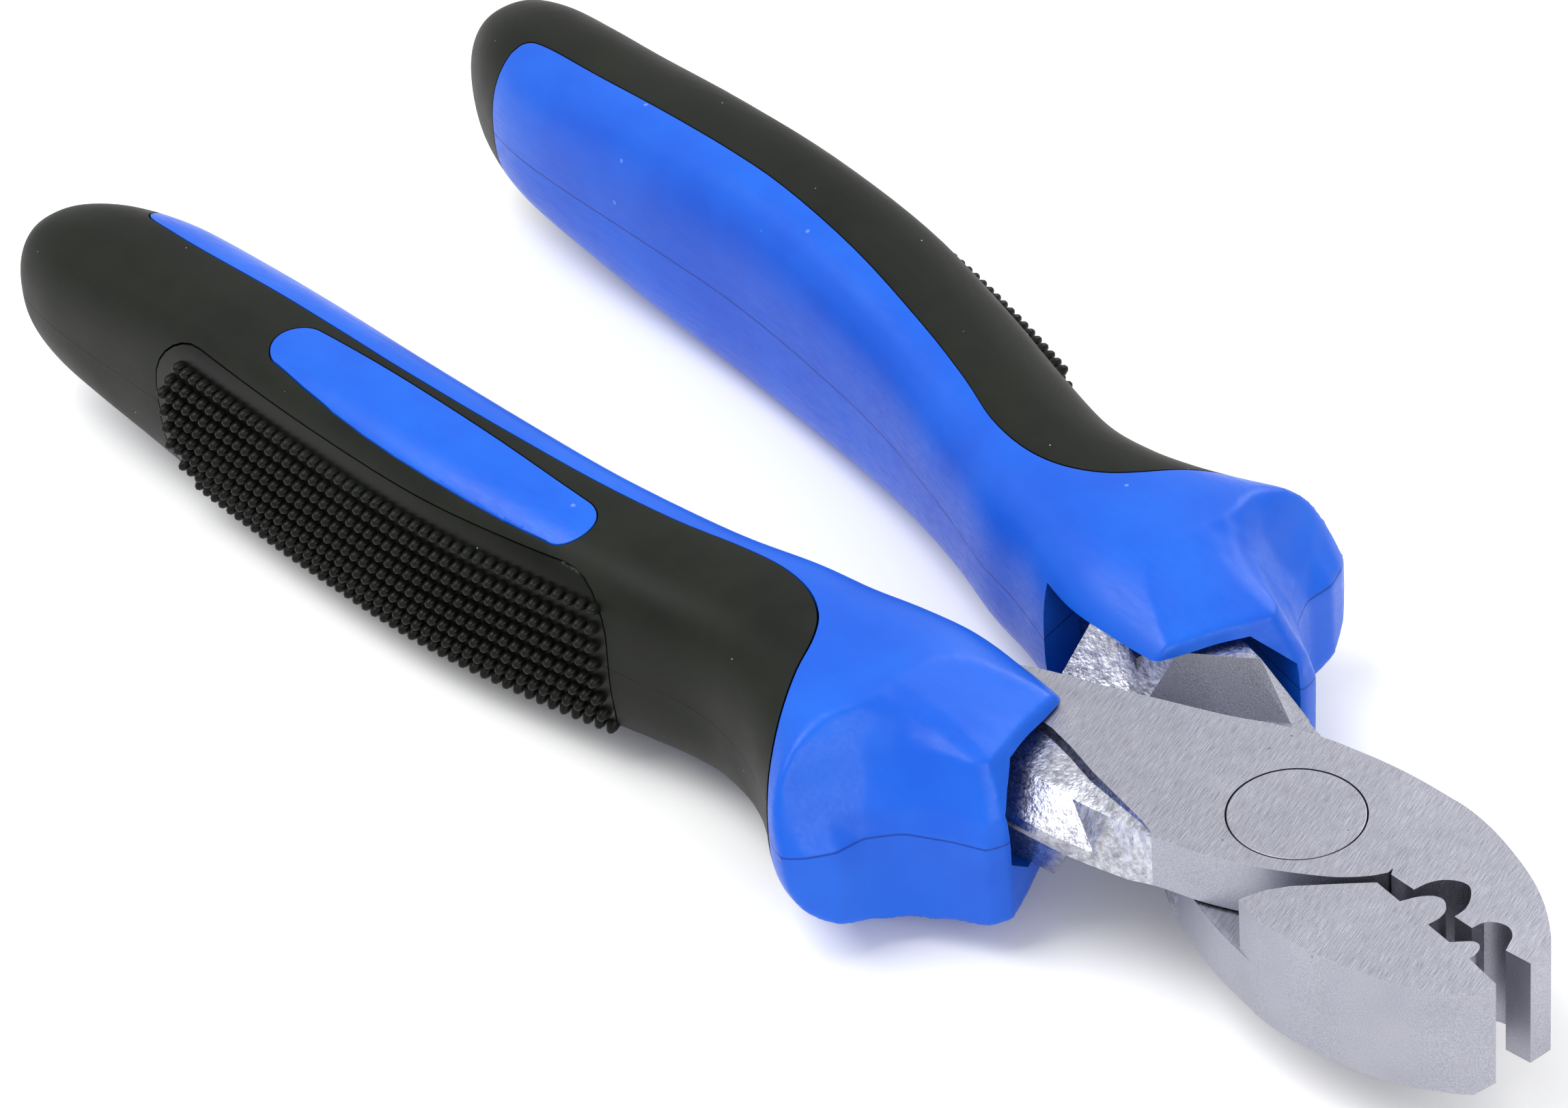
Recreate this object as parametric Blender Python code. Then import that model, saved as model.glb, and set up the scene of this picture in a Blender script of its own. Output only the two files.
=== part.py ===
"""Crimping pliers: two lap-jointed steel levers on a flush rivet, each with a two-shot moulded sleeve.

Frame: the origin is on the pivot axis, on the underside of the flush rivet. +X runs to the jaw tips,
+Z up along the pivot axis. The jaws are drawn slightly open, as the tool lies at rest.
Lengths below are in millimetres. Levers and sleeves are drawn for the front lever, whose handle is at
-Y and whose lap plate is the upper one. The rear lever is turned over about X; the sleeves are a
mirrored pair, so the thumb slope of the rear one is drawn on its other side.
"""
import math

import bmesh
import bpy
from mathutils import Matrix, Vector

MM = 0.001
GAP = 0.3                       # clearance between touching pieces

# Driving dimensions of the head
HEAD_HALF = 4.5                 # half the thickness of the jaws
LAP_GAP = 0.3                   # clearance between the two lap plates
RIVET_RADIUS = 5.0
RIVET_CLEARANCE = 0.06          # running clearance in the front lever
RIVET_COLLAR_GAP = 0.3          # the rivet is drawn this much clear of the rear lever
JAW_TILT_DEG = -1.9             # mid line of the jaws, measured from the bisector of the handles
JAW_OPEN_DEG = 3.05             # each jaw's turn from the closed position, at rest

# Driving dimensions of the sleeves
REAR_SLEEVE_SHIFT = 1.4         # the rear sleeve is pushed this much further up its tang
BLACK_TAIL_X = -113.8           # behind this the black cap covers the whole section
WINDOW_X = (-90.0, -56.0)       # length of the oval window in one face of each sleeve
WINDOW_V = (18.2, 22.6)
WINDOW_STEM_V = (18.6, 20.2)    # the narrower web that joins the window to the core
WINDOW_TILT_DEG = 4.0
PAD_X = (-99.6, -52.7)
PAD_HALF_HEIGHT = 6.0
PAD_DEPTH = 0.8                 # how far the pad is let into the cover
PAD_PROUD = 1.0                 # height of the studs above the cover
SPINE_WALL = 1.0                # plastic around the tang
TANG_HALF = 3.2                 # half the thickness of the tang inside the sleeve
STEP_DEPTH = 3.8                # how far the tang reaches below the lap plane beside the other plate
STEP_OVERLAP = 0.2              # the step runs this far into the plate above it
DIE_GAP = 0.15                  # half the gap between the dies when the jaws meet
SHELF_HEIGHT = 7.5              # the window widens from its web at this height
TRUNK = ((-30.0, 11.5, 5.4), (-36.0, 12.8, 5.2))    # first sections of the core's spine: x, middle, half width
SPINE_TAIL = (-106.0, 21.0, 2.6)                    # its last section
PAD_EDGE_DROP = 2.4             # the pad's long edges stand this much inboard of its middle
PAD_SHOULDER_DROP = 0.6
PAD_SHOULDER = 0.7              # share of the half height at which its shoulder lies
PAD_STATIONS = 10

# Cross-sections of the sleeve: x, inner face, outer face, half height, squareness of the corners.
# The two faces are distances from the bisector of the handles.
SLEEVE_SECTIONS = (
    (-123.6, 20.4, 23.7, 2.6, 2.2),
    (-122.7, 18.9, 25.0, 4.2, 2.3),
    (-120.6, 17.2, 26.4, 5.8, 2.4),
    (-116.8, 15.3, 27.1, 7.0, 2.5),
    (-111.5, 13.9, 27.2, 7.7, 2.6),
    (-105.0, 13.5, 27.0, 8.2, 2.8),
    (-94.0, 13.6, 26.6, 9.3, 3.1),
    (-82.0, 13.6, 26.1, 9.9, 3.4),
    (-70.0, 12.5, 25.4, 9.6, 3.4),
    (-60.0, 10.9, 23.8, 8.8, 3.3),
    (-50.0, 8.3, 21.7, 8.1, 3.0),
    (-43.0, 6.1, 20.3, 8.1, 2.9),
    (-38.0, 5.1, 20.6, 8.3, 2.9),
    (-34.0, 3.9, 21.8, 8.5, 2.9),
    (-30.5, 2.9, 23.6, 8.5, 2.9),
    (-28.0, 2.5, 25.2, 8.5, 2.8),
    (-25.5, 2.4, 26.2, 8.4, 2.7),
    (-22.0, 2.4, 26.4, 8.0, 2.7),
    (-13.0, 3.0, 25.0, 7.0, 2.7),
)
# Line between the coloured core and the black cover, seen from above, from the tail to the guard
COLOUR_LINE = ((-113.8, 18.6), (-95.0, 18.4), (-80.0, 18.0), (-70.0, 16.9), (-60.0, 15.1), (-50.0, 12.4),
               (-44.0, 11.2), (-38.5, 11.9), (-35.0, 14.4), (-32.0, 19.2), (-29.5, 23.2), (-26.4, 27.6))
# Front of the collar seen from above, from the inner side to the rim of the guard
COLLAR_FRONT = ((-20.6, 3.6), (-15.4, 14.5), (-16.2, 15.3), (-21.6, 18.9), (-22.9, 20.6), (-22.8, 23.2),
                (-23.6, 24.6), (-25.2, 26.2))
# The top of the collar falls from the ridge to the front edge: x, height
COLLAR_RIDGE = (-27.3, 8.4)
COLLAR_EDGE = (-19.0, 5.6)
# Centre line of the tang inside the sleeve, and its half width there
TANG_LINE = ((-22.0, 9.0, 4.6), (-36.0, 13.0, 4.0), (-50.0, 15.9, 3.4), (-66.0, 17.7, 3.0), (-92.0, 19.8, 2.6))
OPENING_HALF_HEIGHT = 4.9
OPENING_PLAN = ((-34.0, 16.5), (-14.0, 13.4), (-13.0, 0.0), (-31.0, 0.0), (-34.0, 8.0))


# ---------------------------------------------------------------- helpers

def clear_scene():
    for item in list(bpy.data.objects):
        bpy.data.objects.remove(item, do_unlink=True)


def new_collection(name, hidden=False):
    collection = bpy.data.collections.new(name)
    bpy.context.scene.collection.children.link(collection)
    collection.hide_render = hidden
    return collection


def material(name, colour, roughness, metallic):
    mat = bpy.data.materials.new(name)
    mat.use_nodes = True
    shader = mat.node_tree.nodes["Principled BSDF"]
    shader.inputs["Base Color"].default_value = (*colour, 1.0)
    shader.inputs["Roughness"].default_value = roughness
    shader.inputs["Metallic"].default_value = metallic
    return mat


def smooth_line(points, steps=4):
    """Catmull-Rom curve through the given points, with a number of steps between each two."""
    ends = [2 * Vector(points[0]) - Vector(points[1]), 2 * Vector(points[-1]) - Vector(points[-2])]
    knots = [ends[0]] + [Vector(p) for p in points] + [ends[1]]
    line = []
    for i in range(1, len(knots) - 2):
        a, b, c, d = knots[i - 1:i + 3]
        for k in range(steps):
            t = k / steps
            line.append(0.5 * (2 * b + (c - a) * t + (2 * a - 5 * b + 4 * c - d) * t ** 2
                               + (3 * b - a - 3 * c + d) * t ** 3))
    line.append(knots[-2])
    return line


def turned(points, degrees):
    spin = Matrix.Rotation(math.radians(degrees), 2)
    return [spin @ Vector(p[:2]) for p in points]


def arc(centre, radius, start_deg, end_deg, steps):
    angles = [math.radians(start_deg + (end_deg - start_deg) * k / steps) for k in range(steps + 1)]
    return [Vector((centre[0] + radius * math.cos(a), centre[1] + radius * math.sin(a))) for a in angles]


def add_object(name, mesh, collection):
    item = bpy.data.objects.new(name, mesh)
    collection.objects.link(item)
    return item


def prism(name, outline, low, high, collection):
    """A flat outline, given in millimetres, extruded from one height to another."""
    curve = bpy.data.curves.new(name, "CURVE")
    curve.dimensions = "2D"
    curve.fill_mode = "BOTH"
    curve.extrude = (high - low) / 2 * MM
    spline = curve.splines.new("POLY")
    spline.points.add(len(outline) - 1)
    for point, place in zip(spline.points, outline):
        point.co = (place[0] * MM, place[1] * MM, 0.0, 1.0)
    spline.use_cyclic_u = True
    drawn = add_object(name + "_outline", curve, collection)
    drawn.location.z = (high + low) / 2 * MM
    bpy.context.view_layer.update()
    shape = bpy.data.meshes.new_from_object(drawn.evaluated_get(bpy.context.evaluated_depsgraph_get()))
    shape.transform(drawn.matrix_world)
    bpy.data.objects.remove(drawn)
    tidy = bmesh.new()
    tidy.from_mesh(shape)
    bmesh.ops.remove_doubles(tidy, verts=tidy.verts, dist=1e-6)
    bmesh.ops.recalc_face_normals(tidy, faces=tidy.faces)
    tidy.to_mesh(shape)
    tidy.free()
    return add_object(name, shape, collection)


def loft(name, rings, collection):
    """A closed skin over rings of points, all with the same number of points, in millimetres."""
    skin = bmesh.new()
    loops = [[skin.verts.new(point * MM) for point in ring] for ring in rings]
    count = len(loops[0])
    for near, far in zip(loops, loops[1:]):
        for k in range(count):
            skin.faces.new((near[k], near[(k + 1) % count], far[(k + 1) % count], far[k]))
    skin.faces.new(loops[0])
    skin.faces.new(loops[-1])
    bmesh.ops.recalc_face_normals(skin, faces=skin.faces)
    bmesh.ops.triangulate(skin, faces=[face for face in skin.faces if len(face.verts) == 4])
    mesh = bpy.data.meshes.new(name)
    skin.to_mesh(mesh)
    skin.free()
    return add_object(name, mesh, collection)


def combine(target, other, operation):
    """Apply a Boolean to the target's own mesh and remove the other object."""
    step = target.modifiers.new(operation.lower(), "BOOLEAN")
    step.operation = operation
    step.object = other
    bpy.context.view_layer.update()
    shape = bpy.data.meshes.new_from_object(target.evaluated_get(bpy.context.evaluated_depsgraph_get()))
    target.modifiers.clear()
    target.data = shape
    bpy.data.objects.remove(other)
    return target


def cleaned(target):
    """Merge the slivers that a chain of Booleans leaves."""
    tidy = bmesh.new()
    tidy.from_mesh(target.data)
    bmesh.ops.remove_doubles(tidy, verts=tidy.verts, dist=2e-6)
    bmesh.ops.dissolve_degenerate(tidy, edges=tidy.edges, dist=1e-6)
    tidy.to_mesh(target.data)
    tidy.free()
    return target


def finish(target, name, mat, parent, collection):
    """Name the sub-part, give it its material, and hang it on its lever's pivot."""
    target.name = name
    target.data.name = name
    target.data.materials.clear()
    target.data.materials.append(mat)
    target.data.shade_smooth()
    target.data.set_sharp_from_angle(angle=math.radians(35))
    for owner in list(target.users_collection):
        owner.objects.unlink(target)
    collection.objects.link(target)
    target.parent = parent


# ---------------------------------------------------------------- steel levers

def die_outline(female):
    """Working edge of one jaw, closed, from the tip to the throat. The mid line of the jaws is y = 0."""
    if female:
        nest_large, nest_small, sign = arc((13.5, 1.2), 1.95, -25, 205, 10), arc((18.6, 0.2), 1.75, 0, 180, 8), 1
    else:
        nest_large, nest_small, sign = arc((13.3, 0.75), 1.6, -30, 210, 10), arc((18.6, -0.1), 1.35, 0, 180, 8), -1
    edge = [Vector((22.6, DIE_GAP * sign)), Vector((20.6, DIE_GAP * sign))]
    for nest in (nest_small, nest_large):
        edge += [Vector((p.x, p.y if female else max(p.y, -DIE_GAP))) for p in nest]
    edge += [Vector((11.4 if female else 11.5, DIE_GAP * sign)), Vector((9.0, DIE_GAP * sign))]
    return edge


def jaw_outline(female):
    """Plan of the full-thickness jaw, in the lever's own frame, with the jaw at +Y."""
    die = die_outline(female)
    if not female:
        die = [Vector((p.x, -p.y)) for p in die]
    throat = [Vector(p) for p in ((8.2, 1.7), (6.9, 3.6), (5.9, 5.1), (5.2, 6.7), (4.9, 8.3), (4.9, 8.75))]
    outer = smooth_line(((4.9, 8.75), (7.5, 8.95), (10.5, 8.6), (13.5, 7.8), (16.5, 6.7), (19.0, 5.35),
                         (21.2, 3.7), (22.6, 2.35)), 3)
    return die + throat + outer[1:]


def plate_outline(tilt):
    """Plan of the half-thickness lap plate, closed, from the throat round the handle side to the jaw.

    The head is tilted in its sleeve; the edge that runs into the collar is turned back by that tilt."""
    front = smooth_line(((9.0, 0.15), (8.3, -1.1), (6.9, -2.7), (4.8, -4.3), (2.7, -5.65), (0.4, -6.85),
                         (-1.9, -7.85), (-4.7, -8.6), (-6.5, -9.0)), 2)
    side = [Vector((-10.5, -9.9))] + turned(((-15.0, -11.4), (-24.0, -13.4)), -tilt)
    back = smooth_line(((-24.0, -1.6), (-20.1, 0.0), (-16.2, 1.8), (-11.4, 4.0), (-8.2, 5.8), (-5.0, 7.1),
                        (-2.5, 7.75), (0.3, 8.35), (3.4, 8.75), (7.5, 8.95)), 3)
    return front + side + back


def tang_step_outline(tilt):
    """Plan of the tang's lower half, which stays clear of the other lever's plate."""
    inner = [Vector(p) for p in ((-10.4, -9.85), (-11.6, -9.2), (-20.5, -2.6), (-25.0, -0.4))]
    return inner + turned(((-25.0, -13.6), (-15.0, -11.4)), -tilt)


def tang_rings(extra=0.0, tail=0.0):
    """Rectangular sections of the tang along its centre line, grown by extra on every side."""
    rings = []
    for place, (x, v, half_width) in enumerate(TANG_LINE):
        if place == len(TANG_LINE) - 1:
            x -= tail
        wide, high = half_width + extra, TANG_HALF + extra
        rings.append([Vector((x, -v + a * wide, b * high)) for a, b in ((-1, -1), (1, -1), (1, 1), (-1, 1))])
    return rings


def build_lever(name, female, mat, parent, parts, cutters):
    tilt = JAW_TILT_DEG if female else -JAW_TILT_DEG
    turn = JAW_OPEN_DEG + tilt
    jaw = prism("jaw", turned(jaw_outline(female), turn), -HEAD_HALF, HEAD_HALF, cutters)
    plate = prism("plate", turned(plate_outline(tilt), turn), LAP_GAP / 2, HEAD_HALF, cutters)
    step = prism("step", turned(tang_step_outline(tilt), turn), -STEP_DEPTH, LAP_GAP / 2 + STEP_OVERLAP, cutters)
    tang = loft("tang", tang_rings(), cutters)
    lever = combine(jaw, plate, "UNION")
    for piece in (step, tang):
        lever = combine(lever, piece, "UNION")
    hole_radius = RIVET_RADIUS + (RIVET_CLEARANCE if female else RIVET_COLLAR_GAP)
    hole = bmesh.new()
    bmesh.ops.create_cone(hole, cap_ends=True, segments=48, radius1=hole_radius * MM, radius2=hole_radius * MM,
                          depth=4 * HEAD_HALF * MM)
    mesh = bpy.data.meshes.new("hole")
    hole.to_mesh(mesh)
    hole.free()
    lever = cleaned(combine(lever, add_object("hole", mesh, cutters), "DIFFERENCE"))
    finish(lever, name, mat, parent, parts)
    return lever


def build_rivet(mat, parent, parts):
    shape = bmesh.new()
    bmesh.ops.create_cone(shape, cap_ends=True, segments=48, radius1=RIVET_RADIUS * MM, radius2=RIVET_RADIUS * MM,
                          depth=2 * HEAD_HALF * MM)
    mesh = bpy.data.meshes.new("pivot_rivet")
    shape.to_mesh(mesh)
    shape.free()
    rivet = add_object("pivot_rivet", mesh, parts)
    finish(rivet, "pivot_rivet", mat, parent, parts)


# ---------------------------------------------------------------- sleeves

def section(x, inner, outer, half_height, square, shrink=0.0, count=28):
    """One rounded section of the sleeve at x, as a superellipse."""
    middle, half = -(inner + outer) / 2, (outer - inner) / 2 - shrink
    high = half_height - shrink
    ring = []
    for k in range(count):
        angle = 2 * math.pi * k / count
        c, s = math.cos(angle), math.sin(angle)
        ring.append(Vector((x, middle + half * math.copysign(abs(c) ** (2 / square), c),
                            high * math.copysign(abs(s) ** (2 / square), s))))
    return ring


def sleeve_body(name, thumb_side, cutters):
    """The whole outside of a sleeve, before it is divided into core, cover and pad.

    The collar slopes towards the jaws on its thumb side only, which is 1 for +Z and -1 for -Z."""
    body = loft(name, [section(*row) for row in SLEEVE_SECTIONS], cutters)
    front = [Vector(p) for p in COLLAR_FRONT]
    outline = [(-20.6, -6.0)] + [(p.x, p.y) for p in front] + [(-27.5, 28.6), (-27.5, 36.0), (0.0, 36.0), (0.0, -6.0)]
    body = combine(body, prism("front_cut", [(x, -v) for x, v in outline], -15, 15, cutters), "DIFFERENCE")
    fall = (COLLAR_RIDGE[1] - COLLAR_EDGE[1]) / (COLLAR_EDGE[0] - COLLAR_RIDGE[0])
    reach = 16.0
    wedge = [(COLLAR_RIDGE[0], COLLAR_RIDGE[1]), (COLLAR_RIDGE[0] + reach, COLLAR_RIDGE[1] - fall * reach),
             (COLLAR_RIDGE[0] + reach, 12.0), (COLLAR_RIDGE[0], 12.0)]
    rings = [[Vector((x, v, z * thumb_side)) for x, z in wedge] for v in (2.0, -18.6)]
    body = combine(body, loft("slope", rings, cutters), "DIFFERENCE")
    return body


def colour_region(margin, cutters):
    """Everything inboard and ahead of the line between core and cover, moved outwards by margin."""
    line = smooth_line([Vector(p) for p in COLOUR_LINE], 2)
    outline = [(BLACK_TAIL_X - margin, -4.0), (BLACK_TAIL_X - margin, line[0].y + margin)]
    outline += [(p.x - margin, p.y + margin) for p in line[1:]]
    outline += [(0.0, 30.0 + margin), (0.0, -4.0)]
    return prism("colour_region", [(x, -v) for x, v in outline], -14, 14, cutters)


def window_slot(across, low, high, margin, cutters):
    """A round-ended bar along the window, between two distances from the bisector and two heights."""
    half = (across[1] - across[0]) / 2
    middle = (across[1] + across[0]) / 2
    outline = arc((WINDOW_X[1] - half, -middle), half + margin, -90, 90, 8)
    outline += arc((WINDOW_X[0] + half, -middle), half + margin, 90, 270, 8)
    tilt = Matrix.Rotation(math.radians(WINDOW_TILT_DEG), 2)
    pivot = Vector((sum(WINDOW_X) / 2, -middle))
    outline = [pivot + tilt @ (p - pivot) for p in outline]
    return prism("window", outline, low - margin, high + margin, cutters)


def window_bars(margin, cutters):
    """The web through the cover and the oval window on its end, taller than the sleeve."""
    spans = ((WINDOW_STEM_V, 0.0, SHELF_HEIGHT + 0.5), (WINDOW_V, SHELF_HEIGHT, 13.0))
    return [window_slot(across, low, high, margin, cutters) for across, low, high in spans]


def spine(margin, cutters):
    """The part of the core that runs around the tang, under the cover."""
    rings = []
    for x, v, half_width in TRUNK + TANG_LINE[2:] + (SPINE_TAIL,):
        wide, high = half_width + SPINE_WALL + margin, TANG_HALF + SPINE_WALL + margin
        rings.append([Vector((x - (margin if x == SPINE_TAIL[0] else 0), -v + a * wide, b * high))
                      for a, b in ((-1, -1), (1, -1), (1, 1), (-1, 1))])
    return loft("spine", rings, cutters)


def pad_body(margin, low, high, cutters):
    """A curved slab over the outer face, between two offsets from it."""
    def outer_at(x):
        rows = SLEEVE_SECTIONS
        for near, far in zip(rows, rows[1:]):
            if near[0] <= x <= far[0]:
                return near[2] + (far[2] - near[2]) * (x - near[0]) / (far[0] - near[0])
        return rows[-1][2]
    reach = PAD_X[1] - PAD_X[0] + 2 * margin
    stations = [PAD_X[0] - margin + reach * k / PAD_STATIONS for k in range(PAD_STATIONS + 1)]
    tall = PAD_HALF_HEIGHT + margin
    across = ((PAD_EDGE_DROP, 1.0), (PAD_SHOULDER_DROP, PAD_SHOULDER), (0.0, 0.0),
              (PAD_SHOULDER_DROP, -PAD_SHOULDER), (PAD_EDGE_DROP, -1.0))
    rings = []
    for x in stations:
        v = outer_at(x)
        front = [Vector((x, drop - v - high, -tall * share)) for drop, share in across]
        back = [Vector((x, drop - v - low, tall * -share)) for drop, share in reversed(across)]
        rings.append(front + back)
    return loft("pad", rings, cutters)


def build_sleeve(prefix, shift, thumb_side, mats, parent, parts, cutters):
    core = combine(sleeve_body("core", thumb_side, cutters), colour_region(0.0, cutters), "INTERSECT")
    core = combine(core, spine(0.0, cutters), "UNION")
    for bar in window_bars(0.0, cutters):
        core = combine(core, combine(bar, sleeve_body("window_trim", thumb_side, cutters), "INTERSECT"), "UNION")
    pocket = loft("pocket", tang_rings(GAP, GAP), cutters)
    pocket.location.x = -shift * MM
    core = combine(core, pocket, "DIFFERENCE")
    mouth = prism("mouth", [(x, -v) for x, v in OPENING_PLAN], -OPENING_HALF_HEIGHT, OPENING_HALF_HEIGHT, cutters)
    core = cleaned(combine(core, mouth, "DIFFERENCE"))
    cover = combine(sleeve_body("cover", thumb_side, cutters), colour_region(GAP, cutters), "DIFFERENCE")
    hollows = [spine(GAP, cutters), pad_body(GAP, -PAD_DEPTH - GAP, 6.0, cutters)] + window_bars(GAP, cutters)
    for hollow in hollows:
        cover = combine(cover, hollow, "DIFFERENCE")
    cover = cleaned(cover)
    pad = pad_body(0.0, -PAD_DEPTH, PAD_PROUD, cutters)
    finish(core, prefix + "_sleeve_core", mats["core"], parent, parts)
    finish(cover, prefix + "_soft_cover", mats["cover"], parent, parts)
    finish(pad, prefix + "_grip_pad", mats["pad"], parent, parts)
    return core, cover, pad


# ---------------------------------------------------------------- assembly

def main():
    clear_scene()
    parts = new_collection("crimping_pliers")
    cutters = new_collection("cutters", hidden=True)
    steel = material("forged_steel", (0.56, 0.56, 0.60), 0.35, 0.9)
    rivet_steel = material("rivet_steel", (0.58, 0.58, 0.61), 0.32, 0.9)
    mats = {
        "core": material("blue_plastic", (0.02, 0.16, 0.85), 0.35, 0.0),
        "cover": material("black_rubber", (0.035, 0.04, 0.032), 0.6, 0.0),
        "pad": material("black_pad_rubber", (0.015, 0.015, 0.014), 0.55, 0.0),
    }
    frame = bpy.data.objects.new("tool_frame", None)
    parts.objects.link(frame)
    frame.location.z = HEAD_HALF * MM
    for prefix, female, turn in (("front", True, 0.0), ("rear", False, math.pi)):
        pivot = bpy.data.objects.new(prefix + "_lever_pivot", None)
        parts.objects.link(pivot)
        pivot.parent = frame
        pivot.rotation_euler.x = turn
        build_lever(prefix + "_handle_lever", female, steel, pivot, parts, cutters)
        sleeve_seat = bpy.data.objects.new(prefix + "_sleeve_seat", None)
        parts.objects.link(sleeve_seat)
        sleeve_seat.parent = pivot
        shift, thumb_side = (0.0, 1) if female else (REAR_SLEEVE_SHIFT, -1)
        sleeve_seat.location.x = shift * MM
        build_sleeve(prefix, shift, thumb_side, mats, sleeve_seat, parts, cutters)
    build_rivet(rivet_steel, frame, parts)


main()
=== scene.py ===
"""Looks of a pair of crimping pliers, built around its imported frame.

Two lap-jointed forged levers turn on a flush rivet. Each handle has a sleeve moulded in two colours:
a hard blue core with a collar at the front, and a soft black cover with a studded grip pad.
Shapes are worked out in millimetres about the middle plane of the tool, for the front handle at -Y,
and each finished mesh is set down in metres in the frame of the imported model.
"""

import logging
import math
from dataclasses import dataclass, field
from enum import Enum
from typing import Optional, Sequence

import bmesh
import bpy
from mathutils import Matrix, Vector
from mathutils.bvhtree import BVHTree


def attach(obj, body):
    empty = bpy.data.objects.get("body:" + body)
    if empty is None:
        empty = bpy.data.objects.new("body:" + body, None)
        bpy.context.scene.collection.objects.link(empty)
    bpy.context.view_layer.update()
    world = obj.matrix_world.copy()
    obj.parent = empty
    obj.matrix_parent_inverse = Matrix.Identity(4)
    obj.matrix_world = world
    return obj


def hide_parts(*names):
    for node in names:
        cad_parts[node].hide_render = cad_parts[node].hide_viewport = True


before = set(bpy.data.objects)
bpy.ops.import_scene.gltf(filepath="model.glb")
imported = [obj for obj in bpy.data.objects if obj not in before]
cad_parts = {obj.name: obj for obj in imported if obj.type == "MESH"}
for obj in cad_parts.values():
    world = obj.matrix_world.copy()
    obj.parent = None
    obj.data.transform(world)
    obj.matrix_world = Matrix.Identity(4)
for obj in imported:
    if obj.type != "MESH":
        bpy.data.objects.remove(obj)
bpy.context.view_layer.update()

LOG = logging.getLogger("crimping_pliers")
MM = 0.001
HEAD_HALF = 4.5  # half the thickness of the head; the middle plane lies this far above the origin
ROUND_SEGMENTS = 128  # sides of the rivet and of its hole
BEYOND = 16.0  # a height or depth that is clear of every piece
STEEL_SHARP = 16.0  # degrees between faces that are shaded apart, on steel
MOULDED_SHARP = 50.0  # the same, on a moulded piece

Plan = Sequence[tuple[float, float]]
Rows = tuple[tuple[float, ...], ...]
Colour = tuple[float, float, float]


class Boolean(Enum):
    """The ways in which one solid works on another."""

    ADD = "UNION"
    CUT = "DIFFERENCE"
    KEEP = "INTERSECT"


class Side(Enum):
    """The two handles. The value is the name of the body that the handle belongs to."""

    FRONT = "front_lever"
    REAR = "rear_lever"


# ---------------------------------------------------------------- making shapes


def through(points: Plan, steps: int = 4) -> list[tuple[float, float]]:
    """Smooth line through points.

    Args:
        points: The points that the line passes through.
        steps: Number of steps between each two of them.

    Returns:
        The points of the smooth line, both ends included.
    """
    knots = [Vector(p) for p in points]
    knots = [2 * knots[0] - knots[1]] + knots + [2 * knots[-1] - knots[-2]]
    line = []
    for i in range(1, len(knots) - 2):
        a, b, c, d = knots[i - 1 : i + 3]
        for k in range(steps):
            t = k / steps
            bend, twist = 2 * a - 5 * b + 4 * c - d, 3 * b - a - 3 * c + d
            p = 0.5 * (2 * b + (c - a) * t + bend * t**2 + twist * t**3)
            line.append(tuple(p))
    line.append(tuple(knots[-2]))
    return line


def turned(points: Plan, degrees: float) -> list[tuple[float, float]]:
    """Points turned about the origin, anticlockwise, by a number of degrees."""
    spin = Matrix.Rotation(math.radians(degrees), 2)
    return [tuple(spin @ Vector(p)) for p in points]


def at(rows: Sequence[Sequence[float]], x: float) -> list[float]:
    """Row of a table at x, straight between its neighbours.

    Args:
        rows: Rows that start with x, in rising order.
        x: The place that is wanted.

    Returns:
        The values of the row, without x.
    """
    for near, far in zip(rows, rows[1:]):
        if x <= far[0] or far is rows[-1]:
            share = min(max((x - near[0]) / (far[0] - near[0]), 0.0), 1.0)
            return [a + (b - a) * share for a, b in zip(near[1:], far[1:])]
    return list(rows[-1][1:])


def new_object(name: str, shape: bmesh.types.BMesh) -> bpy.types.Object:
    """Link an object that holds the shape, and free the shape."""
    mesh = bpy.data.meshes.new(name)
    shape.to_mesh(mesh)
    shape.free()
    item = bpy.data.objects.new(name, mesh)
    bpy.context.scene.collection.objects.link(item)
    return item


def add_ring(shape: bmesh.types.BMesh, points: Sequence[Vector]) -> list[bmesh.types.BMEdge]:
    """A closed ring of edges through points."""
    verts = [shape.verts.new(p) for p in points]
    return [shape.edges.new((a, b)) for a, b in zip(verts, verts[1:] + verts[:1])]


def loft(name: str, rings: Sequence[Sequence[Vector]]) -> bpy.types.Object:
    """Closed solid through a series of rings.

    Args:
        name: Name of the object.
        rings: Rings of points, all with the same number of points.

    Returns:
        The object, whose quads are cut into triangles so that every face is flat.
    """
    shape = bmesh.new()
    loops = [add_ring(shape, ring) for ring in rings]
    for near, far in zip(loops, loops[1:]):
        bmesh.ops.bridge_loops(shape, edges=near + far)
    bmesh.ops.holes_fill(shape, edges=loops[0] + loops[-1])
    bmesh.ops.recalc_face_normals(shape, faces=shape.faces)
    bmesh.ops.triangulate(shape, faces=shape.faces)
    return new_object(name, shape)


def slab(name: str, plan: Plan, low: float, high: float) -> bpy.types.Object:
    """A flat plan extruded from one height to another."""
    shape = bmesh.new()
    edges = add_ring(shape, [Vector((x, y, low)) for x, y in plan])
    face = bmesh.ops.contextual_create(shape, geom=edges)["faces"]
    lifted = bmesh.ops.extrude_face_region(shape, geom=face)["geom"]
    verts = [item for item in lifted if isinstance(item, bmesh.types.BMVert)]
    bmesh.ops.translate(shape, verts=verts, vec=(0, 0, high - low))
    bmesh.ops.recalc_face_normals(shape, faces=shape.faces)
    return new_object(name, shape)


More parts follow.
